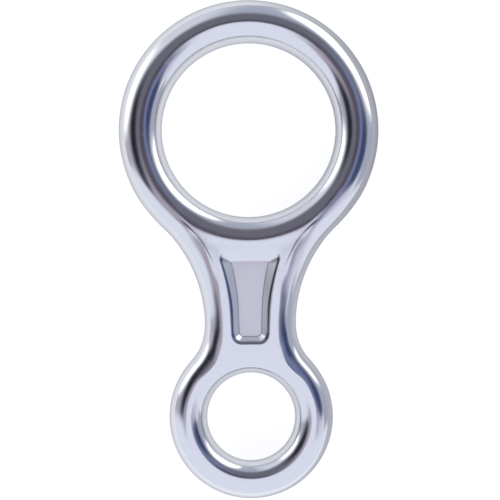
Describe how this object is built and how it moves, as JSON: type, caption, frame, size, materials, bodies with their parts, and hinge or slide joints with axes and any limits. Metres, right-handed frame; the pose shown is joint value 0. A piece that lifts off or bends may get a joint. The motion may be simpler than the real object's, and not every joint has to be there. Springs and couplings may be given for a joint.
{
  "type": "figure eight descender",
  "caption": "One-piece forged aluminium figure eight: a large round eye for the rope's bight, a small eye for a karabiner, and a waisted shank with a sunk panel.",
  "frame": {"origin": "on the surface the piece lies on, under the middle of its length and width", "axes": "+Y from the small eye to the large eye, +X across the piece, +Z through the eyes, out of the face that looks up"},
  "size_m": [0.0704, 0.135, 0.012],
  "materials": {
    "polished_aluminium": "polished"
  },
  "bodies": {
    "root": {"forged_body": "polished_aluminium"}
  },
  "joints": []
}
